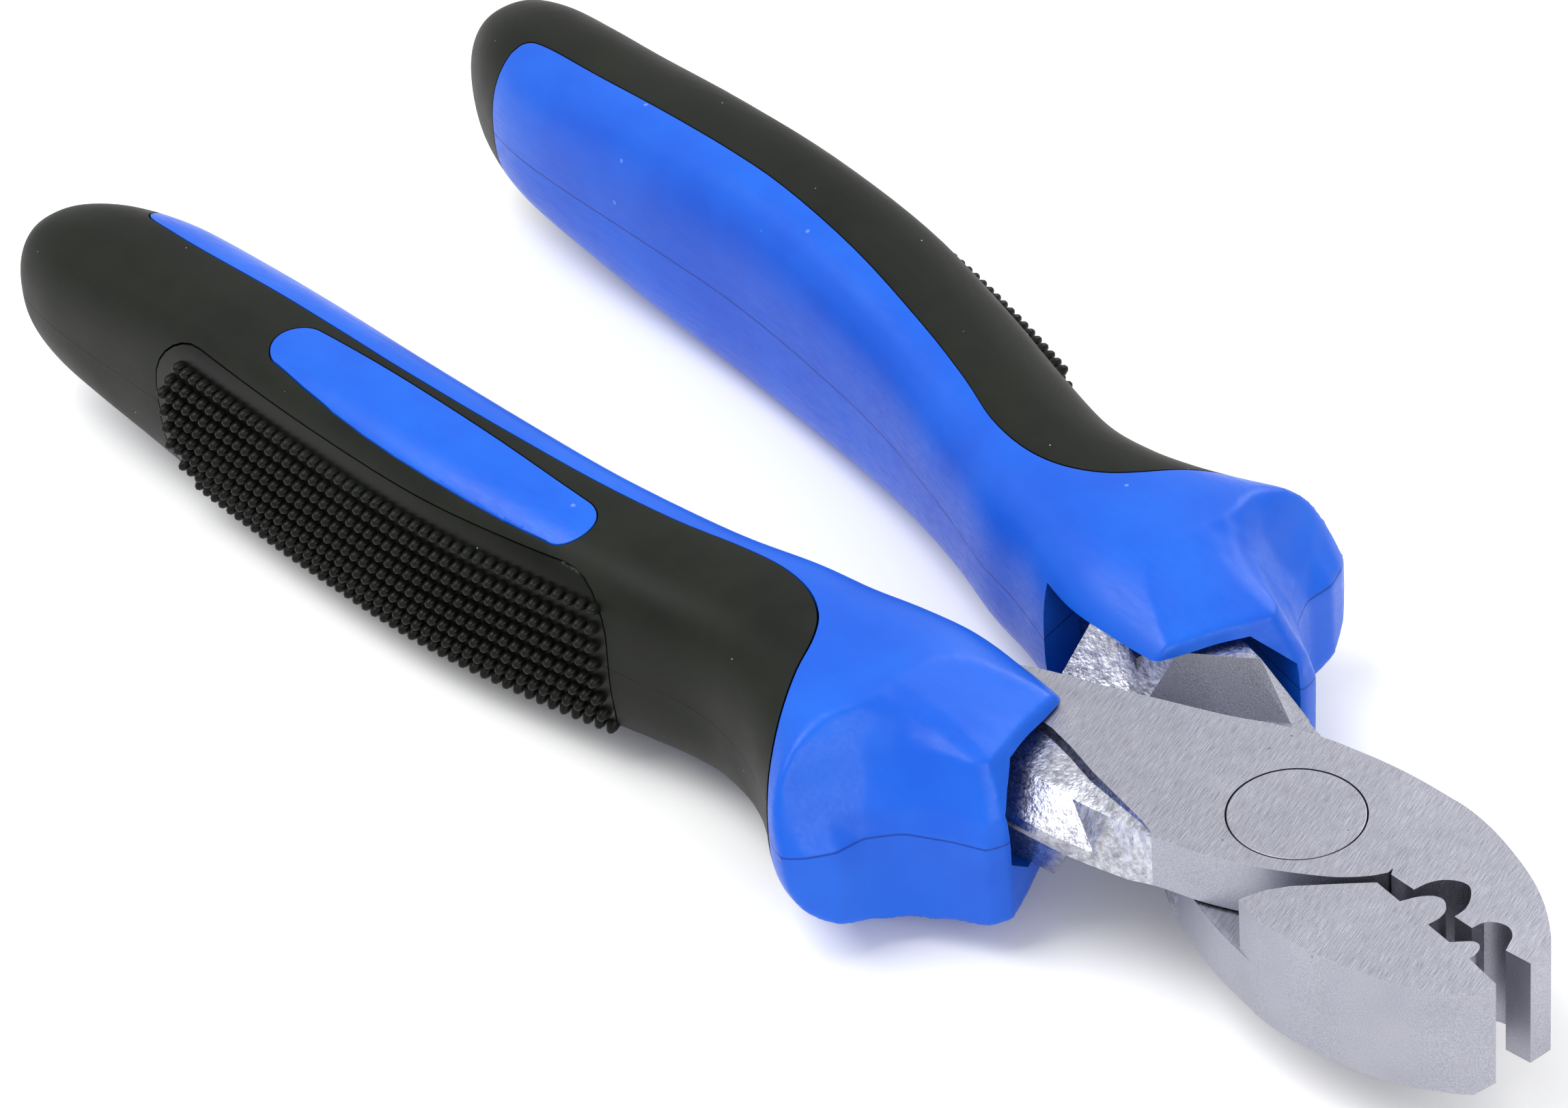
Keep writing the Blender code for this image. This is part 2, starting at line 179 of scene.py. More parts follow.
def bake(item: bpy.types.Object) -> bpy.types.Object:
    """Apply an object's modifiers to its own mesh."""
    bpy.context.view_layer.update()
    shape = bpy.data.meshes.new_from_object(item.evaluated_get(bpy.context.evaluated_depsgraph_get()))
    item.modifiers.clear()
    old, item.data = item.data, shape
    bpy.data.meshes.remove(old)
    return item


def combine(item: bpy.types.Object, tool: bpy.types.Object, way: Boolean,
            solver: str = "MANIFOLD") -> bpy.types.Object:
    """Work on one solid with another, which is used up.

    Args:
        item: The solid that is changed.
        tool: The solid that works on it.
        way: Whether it adds, cuts or keeps the common part.
        solver: Blender's name of the method.

    Returns:
        The changed solid.
    """
    step = item.modifiers.new(way.name, "BOOLEAN")
    step.operation = way.value
    step.solver = solver
    step.object = tool
    bake(item)
    bpy.data.objects.remove(tool)
    return item


def reskin(item: bpy.types.Object, voxel: float, rounds: int) -> bpy.types.Object:
    """Give a solid an even skin and round its edges a little.

    Args:
        item: The solid.
        voxel: Size of the skin's faces.
        rounds: How often the skin is relaxed.

    Returns:
        The same object with its new skin.
    """
    step = item.modifiers.new("skin", "REMESH")
    step.mode = "VOXEL"
    step.voxel_size = voxel
    step.use_smooth_shade = True
    bake(item)
    shape = bmesh.new()
    shape.from_mesh(item.data)
    for _ in range(rounds):
        bmesh.ops.smooth_vert(shape, verts=shape.verts, factor=0.5,
                              use_axis_x=True, use_axis_y=True, use_axis_z=True)
    shape.to_mesh(item.data)
    shape.free()
    return item


def copied(item: bpy.types.Object, name: str) -> bpy.types.Object:
    """A copy of an object with its own mesh."""
    twin = bpy.data.objects.new(name, item.data.copy())
    bpy.context.scene.collection.objects.link(twin)
    return twin


def joined(name: str, items: Sequence[bpy.types.Object]) -> bpy.types.Object:
    """One object from several, which are used up."""
    shape = bmesh.new()
    for item in items:
        shape.from_mesh(item.data)
        bpy.data.objects.remove(item)
    return new_object(name, shape)


class Placing(Enum):
    """How a piece drawn for the front handle goes into the tool."""

    AS_DRAWN = "as drawn"
    TURNED_OVER = "turned over about X"
    MIRRORED = "mirrored across the bisector of the handles"


def settle(item: bpy.types.Object, placing: Placing = Placing.AS_DRAWN,
           shift: float = 0.0) -> bpy.types.Object:
    """Set a finished mesh down in the frame, in metres.

    Args:
        item: The object, drawn in millimetres for the front handle.
        placing: Whether it is turned or mirrored on the way.
        shift: Distance that it is moved along X.

    Returns:
        The same object.
    """
    place = Matrix.Translation((shift * MM, 0, HEAD_HALF * MM)) @ Matrix.Diagonal((MM, MM, MM, 1))
    if placing is Placing.TURNED_OVER:
        place = place @ Matrix.Rotation(math.pi, 4, "X")
    if placing is Placing.MIRRORED:
        place = place @ Matrix.Diagonal((1, -1, 1, 1))
    item.data.transform(place)
    if placing is Placing.MIRRORED:
        item.data.flip_normals()
    item.data.update()
    return item


def smooth(item: bpy.types.Object, degrees: float) -> None:
    """Shade smooth, with sharp edges above an angle."""
    item.data.shade_smooth()
    item.data.set_sharp_from_angle(angle=math.radians(degrees))


# ---------------------------------------------------------------- finishes


class Graph:
    """A material's node graph, with short ways to add and link nodes."""

    def __init__(self, name: str) -> None:
        """Start a material that has one Principled shader."""
        self.material = bpy.data.materials.new(name)
        self.material.use_nodes = True
        self.tree = self.material.node_tree
        self.shader = self.tree.nodes["Principled BSDF"]

    def node(self, kind: str, **settings: object) -> bpy.types.Node:
        """Add a node and set its properties."""
        node = self.tree.nodes.new(kind)
        for key, value in settings.items():
            setattr(node, key, value)
        return node

    def link(self, source: bpy.types.NodeSocket, target: bpy.types.NodeSocket) -> None:
        """Link two sockets."""
        self.tree.links.new(source, target)

    def place(self, scale: Sequence[float] = (1, 1, 1), turn_deg: float = 0.0) -> bpy.types.NodeSocket:
        """Object coordinates, turned about Z and then stretched."""
        where = self.node("ShaderNodeTexCoord")
        turn = self.node("ShaderNodeMapping")
        turn.inputs["Rotation"].default_value = (0, 0, math.radians(turn_deg))
        stretch = self.node("ShaderNodeMapping")
        stretch.inputs["Scale"].default_value = tuple(scale)
        self.link(where.outputs["Object"], turn.inputs["Vector"])
        self.link(turn.outputs["Vector"], stretch.inputs["Vector"])
        return stretch.outputs["Vector"]

    def noise(self, size_mm: float, place: Optional[bpy.types.NodeSocket] = None, detail: float = 3.0,
              roughness: float = 0.55) -> bpy.types.NodeSocket:
        """Noise whose blotches are about one size across."""
        node = self.node("ShaderNodeTexNoise")
        node.inputs["Scale"].default_value = 1 / (size_mm * MM)
        node.inputs["Detail"].default_value = detail
        node.inputs["Roughness"].default_value = roughness
        self.link(place or self.place(), node.inputs["Vector"])
        return node.outputs["Fac"]

    def span(self, source: bpy.types.NodeSocket, low: float, high: float, out_low: float,
             out_high: float) -> bpy.types.NodeSocket:
        """Spread one range of values over another, and hold it there."""
        node = self.node("ShaderNodeMapRange", clamp=True)
        for name, value in (("From Min", low), ("From Max", high), ("To Min", out_low), ("To Max", out_high)):
            node.inputs[name].default_value = value
        self.link(source, node.inputs["Value"])
        return node.outputs["Result"]

    def math(self, operation: str, a: bpy.types.NodeSocket, b: object = 0.0) -> bpy.types.NodeSocket:
        """One step of arithmetic on a socket and a socket or number."""
        node = self.node("ShaderNodeMath", operation=operation)
        self.link(a, node.inputs[0])
        if isinstance(b, (int, float)):
            node.inputs[1].default_value = b
        else:
            self.link(b, node.inputs[1])
        return node.outputs[0]

    def mix(self, share: bpy.types.NodeSocket, low: object, high: object) -> bpy.types.NodeSocket:
        """A colour between two, each a socket or three numbers."""
        node = self.node("ShaderNodeMix", data_type="RGBA")
        self.link(share, node.inputs["Factor"])
        for socket, value in ((node.inputs["A"], low), (node.inputs["B"], high)):
            if isinstance(value, tuple):
                socket.default_value = (*value, 1.0)
            else:
                self.link(value, socket)
        return node.outputs["Result"]

    def bump(self, height: bpy.types.NodeSocket, depth_mm: float, strength: float = 1.0,
             under: Optional[bpy.types.NodeSocket] = None) -> bpy.types.NodeSocket:
        """Relief of a given depth, laid over the relief under it."""
        node = self.node("ShaderNodeBump")
        node.inputs["Strength"].default_value = strength
        node.inputs["Distance"].default_value = depth_mm * MM
        self.link(height, node.inputs["Height"])
        if under is not None:
            self.link(under, node.inputs["Normal"])
        return node.outputs["Normal"]

    def line_at_middle(self, half_width_mm: float) -> bpy.types.NodeSocket:
        """One on the mould's parting line at the middle plane, nought beside it."""
        where = self.node("ShaderNodeTexCoord")
        split = self.node("ShaderNodeSeparateXYZ")
        self.link(where.outputs["Object"], split.inputs["Vector"])
        off = self.math("ABSOLUTE", self.math("SUBTRACT", split.outputs["Z"], HEAD_HALF * MM))
        return self.span(off, half_width_mm * MM * 0.4, half_width_mm * MM, 1.0, 0.0)

    def specks(self, spacing_mm: float, size: float, share: float) -> bpy.types.NodeSocket:
        """Scattered round specks.

        Args:
            spacing_mm: Width of the cells that may hold a speck.
            size: Radius of a speck, as a share of the spacing.
            share: The share of the cells that stays empty.

        Returns:
            One on a speck, nought elsewhere.
        """
        cells = self.node("ShaderNodeTexVoronoi")
        cells.inputs["Scale"].default_value = 1 / (spacing_mm * MM)
        self.link(self.place(), cells.inputs["Vector"])
        near = self.span(cells.outputs["Distance"], size * 0.6, size, 1.0, 0.0)
        split = self.node("ShaderNodeSeparateColor")
        self.link(cells.outputs["Color"], split.inputs["Color"])
        chosen = self.math("GREATER_THAN", split.outputs["Red"], share)
        return self.math("MULTIPLY", near, chosen)


@dataclass(frozen=True)
class GroundSteel:
    """Steel ground flat, with fine parallel lines."""

    name: str = "ground_steel"
    dark: Colour = (0.25, 0.253, 0.30)
    light: Colour = (0.46, 0.463, 0.525)
    roughness: float = 0.36
    pit: Colour = (0.10, 0.10, 0.12)
    line_turn_deg: float = 68.0
    line_mm: float = 0.075  # width of a grinding line
    line_stretch: float = 0.05
    grain_mm: float = 0.16
    cloud_mm: float = 6.0
    relief_mm: float = 0.03

    def build(self) -> bpy.types.Material:
        """Make the material."""
        graph = Graph(self.name)
        along = graph.place((self.line_stretch, 1.0, 1.0), self.line_turn_deg)
        lines = graph.noise(self.line_mm, along, 4.0, 0.65)
        grains = graph.noise(self.grain_mm, None, 2.0)
        clouds = graph.noise(self.cloud_mm, None, 2.0)
        tone = graph.math("ADD", graph.math("MULTIPLY", lines, 0.85), graph.math("MULTIPLY", clouds, 0.15))
        colour = graph.mix(graph.span(tone, 0.35, 0.65, 0.0, 1.0), self.dark, self.light)
        pits = graph.specks(1.3, 0.10, 0.86)
        colour = graph.mix(graph.span(pits, 0.0, 1.0, 0.0, 0.6), colour, self.pit)
        graph.link(colour, graph.shader.inputs["Base Color"])
        graph.link(graph.span(lines, 0.3, 0.7, self.roughness - 0.08, self.roughness + 0.12),
                   graph.shader.inputs["Roughness"])
        relief = graph.bump(lines, self.relief_mm, 0.6)
        relief = graph.bump(grains, 0.02, 0.35, relief)
        graph.link(relief, graph.shader.inputs["Normal"])
        graph.shader.inputs["Metallic"].default_value = 1.0
        return graph.material


@dataclass(frozen=True)
class ForgedSteel:
    """Bright steel with the lumpy skin of a forging."""

    name: str = "forged_steel"
    dark: Colour = (0.34, 0.345, 0.40)
    light: Colour = (0.60, 0.61, 0.68)
    lump_mm: float = 0.62

    def build(self) -> bpy.types.Material:
        """Make the material."""
        graph = Graph(self.name)
        lumps = graph.noise(self.lump_mm, None, 2.5, 0.6)
        fine = graph.noise(self.lump_mm * 0.35, None, 2.0)
        colour = graph.mix(graph.span(lumps, 0.35, 0.65, 0.0, 1.0), self.dark, self.light)
        graph.link(colour, graph.shader.inputs["Base Color"])
        graph.link(graph.span(fine, 0.3, 0.7, 0.22, 0.38), graph.shader.inputs["Roughness"])
        relief = graph.bump(lumps, 0.09, 0.7)
        relief = graph.bump(fine, 0.03, 0.5, relief)
        graph.link(relief, graph.shader.inputs["Normal"])
        graph.shader.inputs["Metallic"].default_value = 1.0
        return graph.material


@dataclass(frozen=True)
class MouldedPlastic:
    """Hard, evenly coloured plastic with the marks of handling."""

    name: str = "blue_plastic"
    colour: Colour = (0.003, 0.080, 0.53)
    worn: Colour = (0.006, 0.122, 0.64)
    line: Colour = (0.0, 0.02, 0.22)
    scuff: Colour = (0.25, 0.42, 0.95)
    roughness: float = 0.36
    specular: float = 0.26
    cloud_mm: float = 9.0
    grain_mm: float = 0.22
    rub_mm: float = 0.35
    parting_mm: float = 0.09  # half the width of the mould's parting line

    def build(self) -> bpy.types.Material:
        """Make the material."""
        graph = Graph(self.name)
        clouds = graph.noise(self.cloud_mm, None, 3.0)
        grain = graph.noise(self.grain_mm, None, 3.0, 0.65)
        rubs = graph.noise(self.rub_mm, graph.place((0.12, 1.0, 1.0), 0.0), 3.0, 0.7)
        colour = graph.mix(graph.span(clouds, 0.35, 0.7, 0.0, 0.6), self.colour, self.worn)
        parting = graph.line_at_middle(self.parting_mm)
        colour = graph.mix(graph.math("MULTIPLY", parting, 0.75), colour, self.line)
        scuffs = graph.specks(4.5, 0.05, 0.55)
        colour = graph.mix(graph.math("MULTIPLY", scuffs, 0.35), colour, self.scuff)
        graph.link(colour, graph.shader.inputs["Base Color"])
        graph.link(graph.span(rubs, 0.3, 0.7, self.roughness - 0.06, self.roughness + 0.10),
                   graph.shader.inputs["Roughness"])
        relief = graph.bump(grain, 0.012, 0.5)
        relief = graph.bump(rubs, 0.012, 0.35, relief)
        relief = graph.bump(graph.span(parting, 0, 1, 1, 0), 0.06, 0.7, relief)
        graph.link(relief, graph.shader.inputs["Normal"])
        graph.shader.inputs["Specular IOR Level"].default_value = self.specular
        return graph.material


@dataclass(frozen=True)
class SoftRubber:
    """Matt black rubber with a breath of dust."""

    name: str
    dark: Colour
    light: Colour
    roughness: float
    dusty: float
    dust: Colour = (0.42, 0.44, 0.42)
    joint: Colour = (0.002, 0.002, 0.002)
    specular: float = 0.15
    cloud_mm: float = 7.0
    grain_mm: float = 0.13
    parting_mm: float = 0.07  # half the width of the mould's parting line

    def build(self) -> bpy.types.Material:
        """Make the material."""
        graph = Graph(self.name)
        clouds = graph.noise(self.cloud_mm, None, 4.0, 0.6)
        grain = graph.noise(self.grain_mm, None, 3.0, 0.7)
        colour = graph.mix(graph.span(clouds, 0.3, 0.7, 0.0, 1.0), self.dark, self.light)
        parting = graph.line_at_middle(self.parting_mm)
        colour = graph.mix(graph.math("MULTIPLY", parting, 0.8), colour, self.joint)
        motes = graph.math("MULTIPLY", graph.specks(1.5, 0.045, 0.80), self.dusty)
        colour = graph.mix(motes, colour, self.dust)
        graph.link(colour, graph.shader.inputs["Base Color"])
        graph.link(graph.span(clouds, 0.3, 0.7, self.roughness - 0.05, self.roughness + 0.07),
                   graph.shader.inputs["Roughness"])
        relief = graph.bump(grain, 0.02, 0.5)
        relief = graph.bump(graph.span(parting, 0, 1, 1, 0), 0.06, 0.8, relief)
        graph.link(relief, graph.shader.inputs["Normal"])
        graph.shader.inputs["Specular IOR Level"].default_value = self.specular
        return graph.material


# ---------------------------------------------------------------- levers


def tang_rings(rows: Rows, half: float, gap: float = 0.0, tail: float = 0.0) -> list[list[Vector]]:
    """Rectangular sections along a tang.

    Args:
        rows: For each section, x, the middle line and the half width.
        half: Half the height of the sections.
        gap: How much they are grown on every side.
        tail: How far the last one is moved back.

    Returns:
        The rings of corners.
    """
    rings = []
    for x, v, wide in rows:
        back = tail if x == rows[-1][0] else 0.0
        rings.append([Vector((x - back, -v + a * (wide + gap), b * (half + gap)))
                      for a, b in ((-1, -1), (1, -1), (1, 1), (-1, 1))])
    return rings


@dataclass
class Lever:
    """A forged lever: its jaw, its half of the lap joint, and the tang inside the sleeve.

    It is drawn with the handle at -Y, the jaw at +Y and its lap plate above the other's.
    """

    side: Side
    open_deg: float = 3.05  # the turn of each jaw from the closed position
    tilt_deg: float = -1.9  # the middle line of the jaws, from the bisector of the handles
    lap_plane: float = 0.0  # height of the lap, above the middle plane
    lap_gap: float = 0.2
    die_gap: float = 0.15
    hole_radius: float = 5.03
    edge: float = 0.10
    step_depth: float = 4.3
    step_overlap: float = 0.3  # the step runs this far into the plate above it
    tang_half: float = 3.2
    # the forged skin shows behind these places, above and below this height, where it isn't level
    struck_x: float = -5.0
    step_x: float = -11.0
    forged_z: float = -0.5
    level_cosine: float = 0.985
    tang: Rows = (
        (-22.0, 9.0, 4.6),
        (-36.0, 13.0, 4.0),
        (-50.0, 15.9, 3.4),
        (-66.0, 17.7, 3.0),
        (-92.0, 19.8, 2.6),
    )
    # forged hollow beside the flat: x, edge of the flat, ridge of the hollow, wall at the lap
    hollow: Rows = (
        (-26.0, 6.4, 9.8, 13.4),
        (-19.0, 6.2, 9.7, 12.7),
        (-16.4, 6.6, 9.5, 12.3),
        (-13.3, 7.3, 9.25, 11.9),
        (-9.7, 7.9, 9.1, 11.0),
        (-6.8, 8.35, 8.9, 10.1),
        (-5.4, 8.75, 8.85, 9.5),
    )
    step_top: Plan = ((-11.4, -11.6), (-11.7, -10.2), (-20.5, -3.0), (-27.0, -0.6),
                                                 (-27.0, -13.7), (-15.0, -12.2))
    step_foot: Plan = ((-14.8, -10.0), (-15.6, -9.3), (-19.4, -6.2), (-27.0, -5.0),
                                                  (-27.0, -11.6), (-18.0, -10.6))

    @property
    def female(self) -> bool:
        """Whether this lever carries the hollow die."""
        return self.side is Side.FRONT

    @property
    def own_tilt(self) -> float:
        """The tilt of the jaws as this lever sees it."""
        return self.tilt_deg if self.female else -self.tilt_deg

    @property
    def lap(self) -> float:
        """Underside of this lever's lap plate."""
        return (self.lap_plane if self.female else -self.lap_plane) + self.lap_gap / 2

    def die(self) -> list[tuple[float, float]]:
        """Working edge of the jaw, closed, from the tip to the throat."""
        g = self.die_gap
        if self.female:
            small = through(((20.45, g), (20.15, 0.75), (19.7, 1.55), (18.9, 2.0), (18.0, 1.8), (17.35, 1.15),
                             (17.2, g)), 3)
            large = through(((15.5, g), (15.45, 1.2), (14.9, 2.3), (14.0, 3.1), (13.1, 3.0), (12.2, 2.3),
                             (11.7, 1.3), (11.55, g)), 3)
            return [(22.6, g + 0.25)] + small + large + [(9.3, g)]
        bump_small = through(((19.45, -g), (19.35, 0.6), (18.85, 1.25), (18.25, 1.2), (17.75, 0.55),
                              (17.3, -g)), 3)
        bump_large = through(((14.95, -g), (14.9, 0.9), (14.5, 1.75), (13.6, 2.3), (12.8, 2.0), (12.2, 1.05),
                              (11.85, -g)), 3)
        return [(22.6, -g - 0.2)] + bump_small + bump_large + [(9.3, -g)]

    def jaw(self) -> list[tuple[float, float]]:
        """Plan of the full-thickness jaw, closed."""
        die = self.die() if self.female else [(x, -y) for x, y in self.die()]
        throat = [(8.2, 1.7), (6.9, 3.6), (5.9, 5.1), (5.2, 6.7), (4.9, 8.3), (4.9, 8.75)]
        outer = ((4.9, 8.75), (7.5, 8.95), (10.5, 8.6), (13.5, 7.8), (16.5, 6.7), (19.0, 5.35), (21.2, 3.7),
                 (22.6, 2.35))
        return die + throat + through(outer, 4)[1:]

    def plate(self) -> list[tuple[float, float]]:
        """Plan of the lap plate, closed."""
        front = through(((9.0, 0.15), (8.3, -1.1), (6.9, -2.7), (4.8, -4.3), (2.7, -5.65), (0.4, -6.85),
                         (-1.9, -7.85), (-4.7, -8.75), (-6.5, -9.6)), 4)
        side = turned(((-10.0, -11.4), (-15.0, -12.6), (-27.0, -14.2)), -self.own_tilt)
        back = through(((-27.0, -3.2), (-24.0, -1.6), (-20.1, 0.0), (-16.2, 1.8), (-11.4, 4.0), (-8.2, 5.8),
                        (-5.0, 7.1), (-2.5, 7.75), (0.3, 8.35), (3.4, 8.75), (7.5, 8.95)), 4)
        return front + side + back

    def hollow_tool(self) -> bpy.types.Object:
        """The solid that is struck out beside the flat."""
        rings, sky, floor, reach = [], HEAD_HALF + 1.5, -1.4, 24.0
        for x, flat, ridge, wall in self.hollow:
            depth = min(1.0, (ridge - flat) / 2.0)
            profile = ((flat, sky), (flat, HEAD_HALF), (flat + 0.25 * depth, HEAD_HALF - 0.75 * depth),
                       (ridge, HEAD_HALF - 1.5 * depth), (wall - 0.5, 1.0), (wall, -0.2), (wall - 0.1, floor),
                       (reach, floor), (reach, sky))
            rings.append([Vector((x, -v, z)) for v, z in profile])
        return loft("hollow", rings)

    def body(self) -> bpy.types.Object:
        """Make the steel solid."""
        turn = self.open_deg + self.own_tilt
        lever = slab("jaw", turned(self.jaw(), turn), -HEAD_HALF, HEAD_HALF)
        plate = slab("plate", turned(self.plate(), turn), self.lap, HEAD_HALF)
        lever = combine(lever, plate, Boolean.ADD, "EXACT")
        lever = combine(lever, self.hollow_tool(), Boolean.CUT, "EXACT")
        levels = ((self.step_foot, -self.step_depth), (self.step_top, self.lap + self.step_overlap))
        step = loft("step", [[Vector((*p, z)) for p in plan] for plan, z in levels])
        lever = combine(lever, step, Boolean.ADD, "EXACT")
        lever = combine(lever, loft("tang", tang_rings(self.tang, self.tang_half)), Boolean.ADD, "EXACT")
        hole = bmesh.new()
        bmesh.ops.create_cone(hole, cap_ends=True, segments=ROUND_SEGMENTS, radius1=self.hole_radius,
                              radius2=self.hole_radius, depth=4 * HEAD_HALF)
        return combine(lever, new_object("hole", hole), Boolean.CUT, "EXACT")

    def dress(self, item: bpy.types.Object, ground: bpy.types.Material, forged: bpy.types.Material) -> None:
        """Round the edges and give each face its finish."""
        item.data.materials.clear()
        item.data.materials.append(ground)
        item.data.materials.append(forged)
        shape = bmesh.new()
        shape.from_mesh(item.data)
        bmesh.ops.remove_doubles(shape, verts=shape.verts, dist=0.01)
        bmesh.ops.dissolve_degenerate(shape, edges=shape.edges, dist=0.005)
        bmesh.ops.dissolve_limit(shape, verts=shape.verts, edges=shape.edges, angle_limit=math.radians(1.0))
        for face in shape.faces:
            middle, level = face.calc_center_median(), abs(face.normal.z) >= self.level_cosine
            struck = middle.x < self.struck_x and middle.z > self.forged_z and not level
            own_step = middle.x < self.step_x and middle.z < self.forged_z and face.normal.x < 0.5
            face.material_index = 1 if struck or own_step else 0
        shape.to_mesh(item.data)
        shape.free()
        step = item.modifiers.new("edges", "BEVEL")
        step.width = self.edge
        step.segments = 2
        step.limit_method = "ANGLE"
        step.angle_limit = math.radians(32)
        step.use_clamp_overlap = True
        bake(item)
        smooth(item, STEEL_SHARP)


@dataclass
class Rivet:
    """The rivet that the levers turn on, ground flush with them."""

    radius: float = 4.9
    edge: float = 0.05

    def body(self) -> bpy.types.Object:
        """Make the rivet."""
        shape = bmesh.new()
        bmesh.ops.create_cone(shape, cap_ends=True, segments=ROUND_SEGMENTS, radius1=self.radius,
                              radius2=self.radius, depth=2 * HEAD_HALF)
        rims = [e for e in shape.edges if len({round(v.co.z, 3) for v in e.verts}) == 1]
        bmesh.ops.bevel(shape, geom=rims, offset=self.edge, affect="EDGES", segments=2, profile=0.5,
                        material=-1)
        return new_object("rivet", shape)


# ---------------------------------------------------------------- sleeves


@dataclass
class Sleeve:
    """The two-colour sleeve of one handle, drawn for the front one.

    Places across the handle are distances v from the bisector of the handles, growing outwards.
    """

    # x, inner face, outer face, half height, squareness of the corners
    sections: Rows = (
        (-123.6, 20.4, 23.7, 2.6, 2.2),
        (-122.7, 18.9, 25.0, 4.2, 2.3),
        (-120.6, 17.2, 26.4, 5.8, 2.4),
        (-116.8, 15.3, 27.1, 7.0, 2.5),
        (-111.5, 13.9, 27.2, 7.7, 2.6),
        (-105.0, 13.5, 27.0, 8.2, 2.8),
        (-94.0, 13.6, 26.6, 9.3, 3.1),
        (-82.0, 13.6, 26.1, 9.9, 3.4),
        (-70.0, 12.5, 25.4, 9.6, 3.4),
        (-60.0, 10.9, 23.8, 8.8, 3.3),
        (-50.0, 8.3, 21.7, 8.1, 3.0),
        (-43.0, 6.1, 20.3, 8.1, 2.9),
        (-38.0, 5.1, 20.6, 8.3, 2.9),
        (-34.0, 3.9, 21.8, 8.5, 2.9),
        (-30.5, 2.9, 23.6, 8.5, 2.9),
        (-28.0, 2.5, 25.2, 8.5, 2.8),
        (-25.5, 2.4, 26.2, 8.4, 2.7),
        (-22.0, 2.4, 26.4, 8.0, 2.7),
        (-13.0, 3.0, 25.0, 7.0, 2.7),
    )
    window_up: bool = True  # whether the oval window is in the upper face
    section_points: int = 64
    # plan of the collar's front at each height above the middle plane, from the inner side to the guard
    collar: tuple[tuple[float, Plan], ...] = (
        (-12.0, (
            (-20.6, -2.0), (-20.5, 3.6), (-18.6, 8.0), (-17.0, 10.6), (-15.5, 13.3), (-16.0, 14.8),
            (-18.2, 16.0), (-21.3, 18.0), (-22.7, 20.5), (-22.8, 23.1), (-23.8, 25.0), (-26.0, 27.5),
        )),
        (0.0, (
            (-20.6, -2.0), (-20.5, 3.6), (-18.6, 8.0), (-17.0, 10.6), (-15.4, 13.5), (-15.9, 15.1),
            (-18.2, 16.2), (-21.4, 18.2), (-22.9, 20.6), (-23.0, 23.1), (-24.0, 25.0), (-26.2, 27.5),
        )),
        (2.0, (
            (-20.6, -2.0), (-20.5, 3.6), (-18.7, 8.0), (-17.1, 10.6), (-15.7, 13.4), (-16.3, 14.7),
            (-18.9, 15.9), (-21.8, 17.8), (-23.7, 20.1), (-24.5, 22.6), (-25.5, 25.0), (-27.2, 27.5),
        )),
        (4.0, (
            (-20.6, -2.0), (-20.5, 3.7), (-19.0, 8.0), (-17.8, 10.6), (-16.8, 13.1), (-17.5, 14.2),
            (-19.8, 15.4), (-22.6, 17.0), (-24.5, 18.9), (-25.5, 21.5), (-26.5, 24.6), (-28.0, 27.5),
        )),
        (5.8, (
            (-20.8, -2.0), (-20.6, 3.9), (-19.6, 8.0), (-18.7, 10.6), (-17.9, 12.9), (-18.6, 13.9),
            (-21.0, 15.0), (-23.6, 16.4), (-25.4, 18.6), (-26.4, 21.4), (-27.4, 24.4), (-28.6, 27.5),
        )),
        (6.8, (
            (-23.4, -2.0), (-23.2, 4.2), (-22.6, 8.0), (-22.0, 10.6), (-21.6, 12.8), (-22.4, 14.2),
            (-23.9, 15.6), (-25.3, 17.4), (-26.4, 19.4), (-27.1, 21.6), (-28.2, 24.4), (-29.4, 27.5),
        )),
        (7.7, (
            (-26.2, -2.0), (-26.0, 4.4), (-25.5, 8.0), (-25.0, 10.6), (-24.6, 13.4), (-24.9, 15.2),
            (-25.6, 16.6), (-26.4, 18.0), (-27.2, 19.6), (-28.0, 21.6), (-29.2, 24.2), (-30.6, 27.5),
        )),
        (8.6, (
            (-28.8, -2.0), (-28.6, 4.5), (-28.2, 8.0), (-27.8, 10.6), (-27.2, 14.0), (-26.8, 16.0),
            (-27.0, 17.6), (-27.6, 18.8), (-28.6, 20.4), (-29.8, 22.2), (-31.0, 24.4), (-32.4, 27.5),
        )),
        (12.0, (
            (-28.9, -2.0), (-28.7, 4.5), (-28.3, 8.0), (-27.9, 10.6), (-27.3, 14.0), (-26.9, 16.0),
            (-27.1, 17.6), (-27.7, 18.8), (-28.7, 20.4), (-29.9, 22.2), (-31.1, 24.4), (-32.5, 27.5),
        )),
    )
    # plan of the mouth at its two outer levels and at the two where its walls stand
    mouth_flat: Plan = (
        (-34.0, 14.0), (-18.3, 10.8), (-8.0, 8.6), (-8.0, -3.0), (-31.0, -3.0), (-34.0, 8.0),
    )
    mouth_wide: Plan = (
        (-34.0, 16.5), (-15.7, 13.2), (-8.0, 11.8), (-8.0, -3.0), (-31.0, -3.0), (-34.0, 8.0),
    )
    mouth_levels: tuple[float, float] = (2.2, 4.8)
